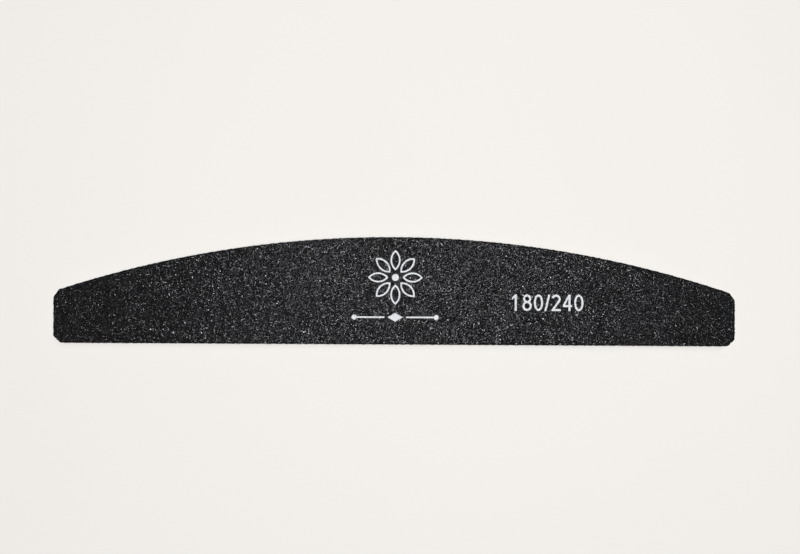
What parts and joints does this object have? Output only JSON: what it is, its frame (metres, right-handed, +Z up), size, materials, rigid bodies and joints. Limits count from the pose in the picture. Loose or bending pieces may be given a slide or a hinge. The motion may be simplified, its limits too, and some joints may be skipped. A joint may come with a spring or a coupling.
{
  "type": "emery board",
  "caption": "Half-moon nail file with one straight and one arched edge and bevelled ends, laminated from abrasive paper, foam and a stiff plastic core, with grit numbers on its coarser face.",
  "frame": {"origin": "middle of the board's bounding box, on the lower face that it lies on", "axes": "+X along the straight edge, to the right as the numbers read; +Y from the straight edge to the arch; +Z up out of the printed face"},
  "size_m": [0.178, 0.028, 0.0041],
  "materials": {
    "core_plastic": "white polystyrene sheet, satin, die-cut edge",
    "glue_film": "clear acrylic adhesive film, slightly yellow",
    "foam": "charcoal closed-cell foam with fine open cells on its cut edge",
    "backing_paper": "black latex-saturated paper",
    "resin": "black cured resin",
    "grit_180": "black silicon carbide grains, medium, sparkling",
    "grit_240": "black silicon carbide grains, fine, sparkling",
    "white_ink": "white screen-printed ink on grit"
  },
  "bodies": {
    "root": {"core_board": "core_plastic", "core_glue_upper": "glue_film", "core_glue_lower": "glue_film", "foam_pad_upper": "foam", "foam_pad_lower": "foam", "paper_glue_upper": "glue_film", "paper_glue_lower": "glue_film", "backing_paper_upper": "backing_paper", "backing_paper_lower": "backing_paper", "make_coat_upper": "resin", "make_coat_lower": "resin", "grit_180": "grit_180", "grit_240": "grit_240", "size_coat_upper": "resin", "size_coat_lower": "resin", "printed_numbers": "white_ink", "printed_rosette": "white_ink", "printed_divider": "white_ink"}
  },
  "joints": []
}
